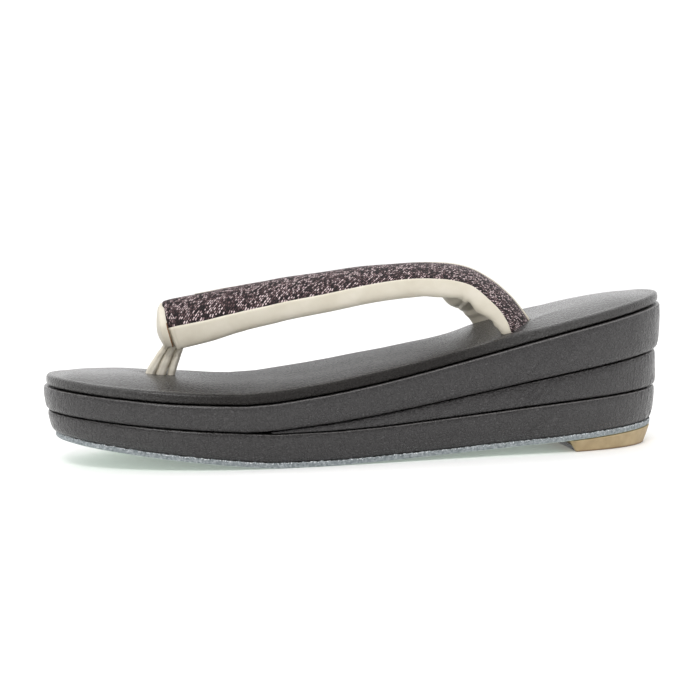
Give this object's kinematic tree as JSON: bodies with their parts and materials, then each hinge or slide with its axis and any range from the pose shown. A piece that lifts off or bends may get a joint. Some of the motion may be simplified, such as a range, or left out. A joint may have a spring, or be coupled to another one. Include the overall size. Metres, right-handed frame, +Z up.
{
  "type": "zori sandal",
  "caption": "Thonged dress sandal with a layered wedge core, domed grained footbed, padded V strap faced in woven brocade, toe thong, leather outsole and rubber heel lift",
  "frame": {"origin": "middle of the bounding box in X and Y, on the floor", "axes": "+X from the toe to the heel along the shoe, +Y across the shoe, +Z up from the floor"},
  "size_m": [0.24, 0.082, 0.0722],
  "materials": {
    "footbed": "pebble grain, satin",
    "core": "pebble grain, satin",
    "outsole": "fibrous cut edge, matte",
    "lift": "matte",
    "strap_leather": "smooth, satin",
    "brocade": "woven, matte"
  },
  "bodies": {
    "root": {"footbed_pad": "footbed", "upper_core": "core", "wedge_core": "core", "lower_core": "core", "outsole": "outsole", "heel_lift": "lift", "strap_body": "strap_leather", "strap_face": "brocade", "toe_thong": "strap_leather"}
  },
  "joints": []
}
